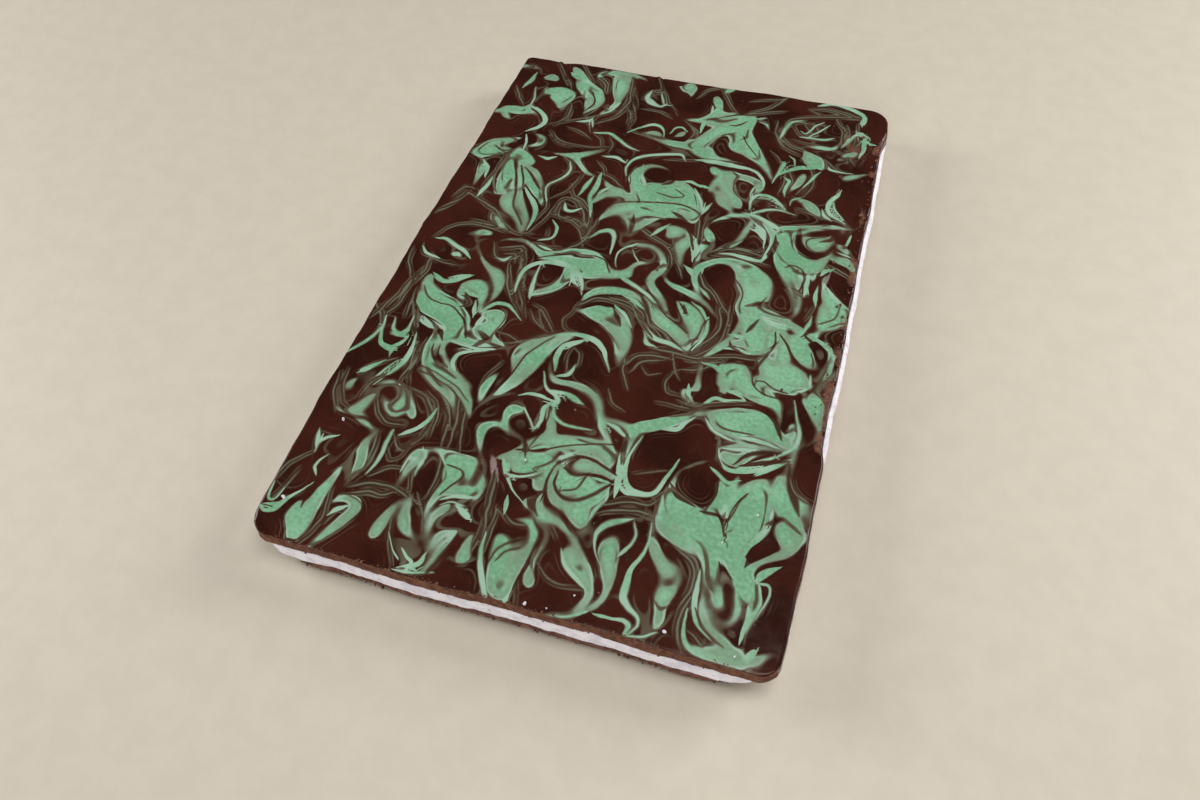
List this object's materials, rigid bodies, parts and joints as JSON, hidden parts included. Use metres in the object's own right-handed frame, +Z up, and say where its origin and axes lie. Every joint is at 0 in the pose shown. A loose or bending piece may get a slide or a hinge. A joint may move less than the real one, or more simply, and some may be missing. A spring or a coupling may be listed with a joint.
{
  "type": "mint slice",
  "caption": "Whole flat slab of layered mint slice: biscuit base, white mint filling and dark chocolate topping marbled with green.",
  "frame": {"origin": "centre of the slab's plan, on its underside", "axes": "+X across the slab, +Y along it away from the cut front, +Z up through the layers"},
  "size_m": [0.1842, 0.2809, 0.0178],
  "materials": {
    "biscuit_base": "matte, crumbly",
    "white_filling": "matte, chalky",
    "marbled_topping": "satin gloss with green swirls"
  },
  "bodies": {
    "root": {"chocolate_base": "biscuit_base", "mint_filling": "white_filling", "chocolate_top": "marbled_topping"}
  },
  "joints": []
}
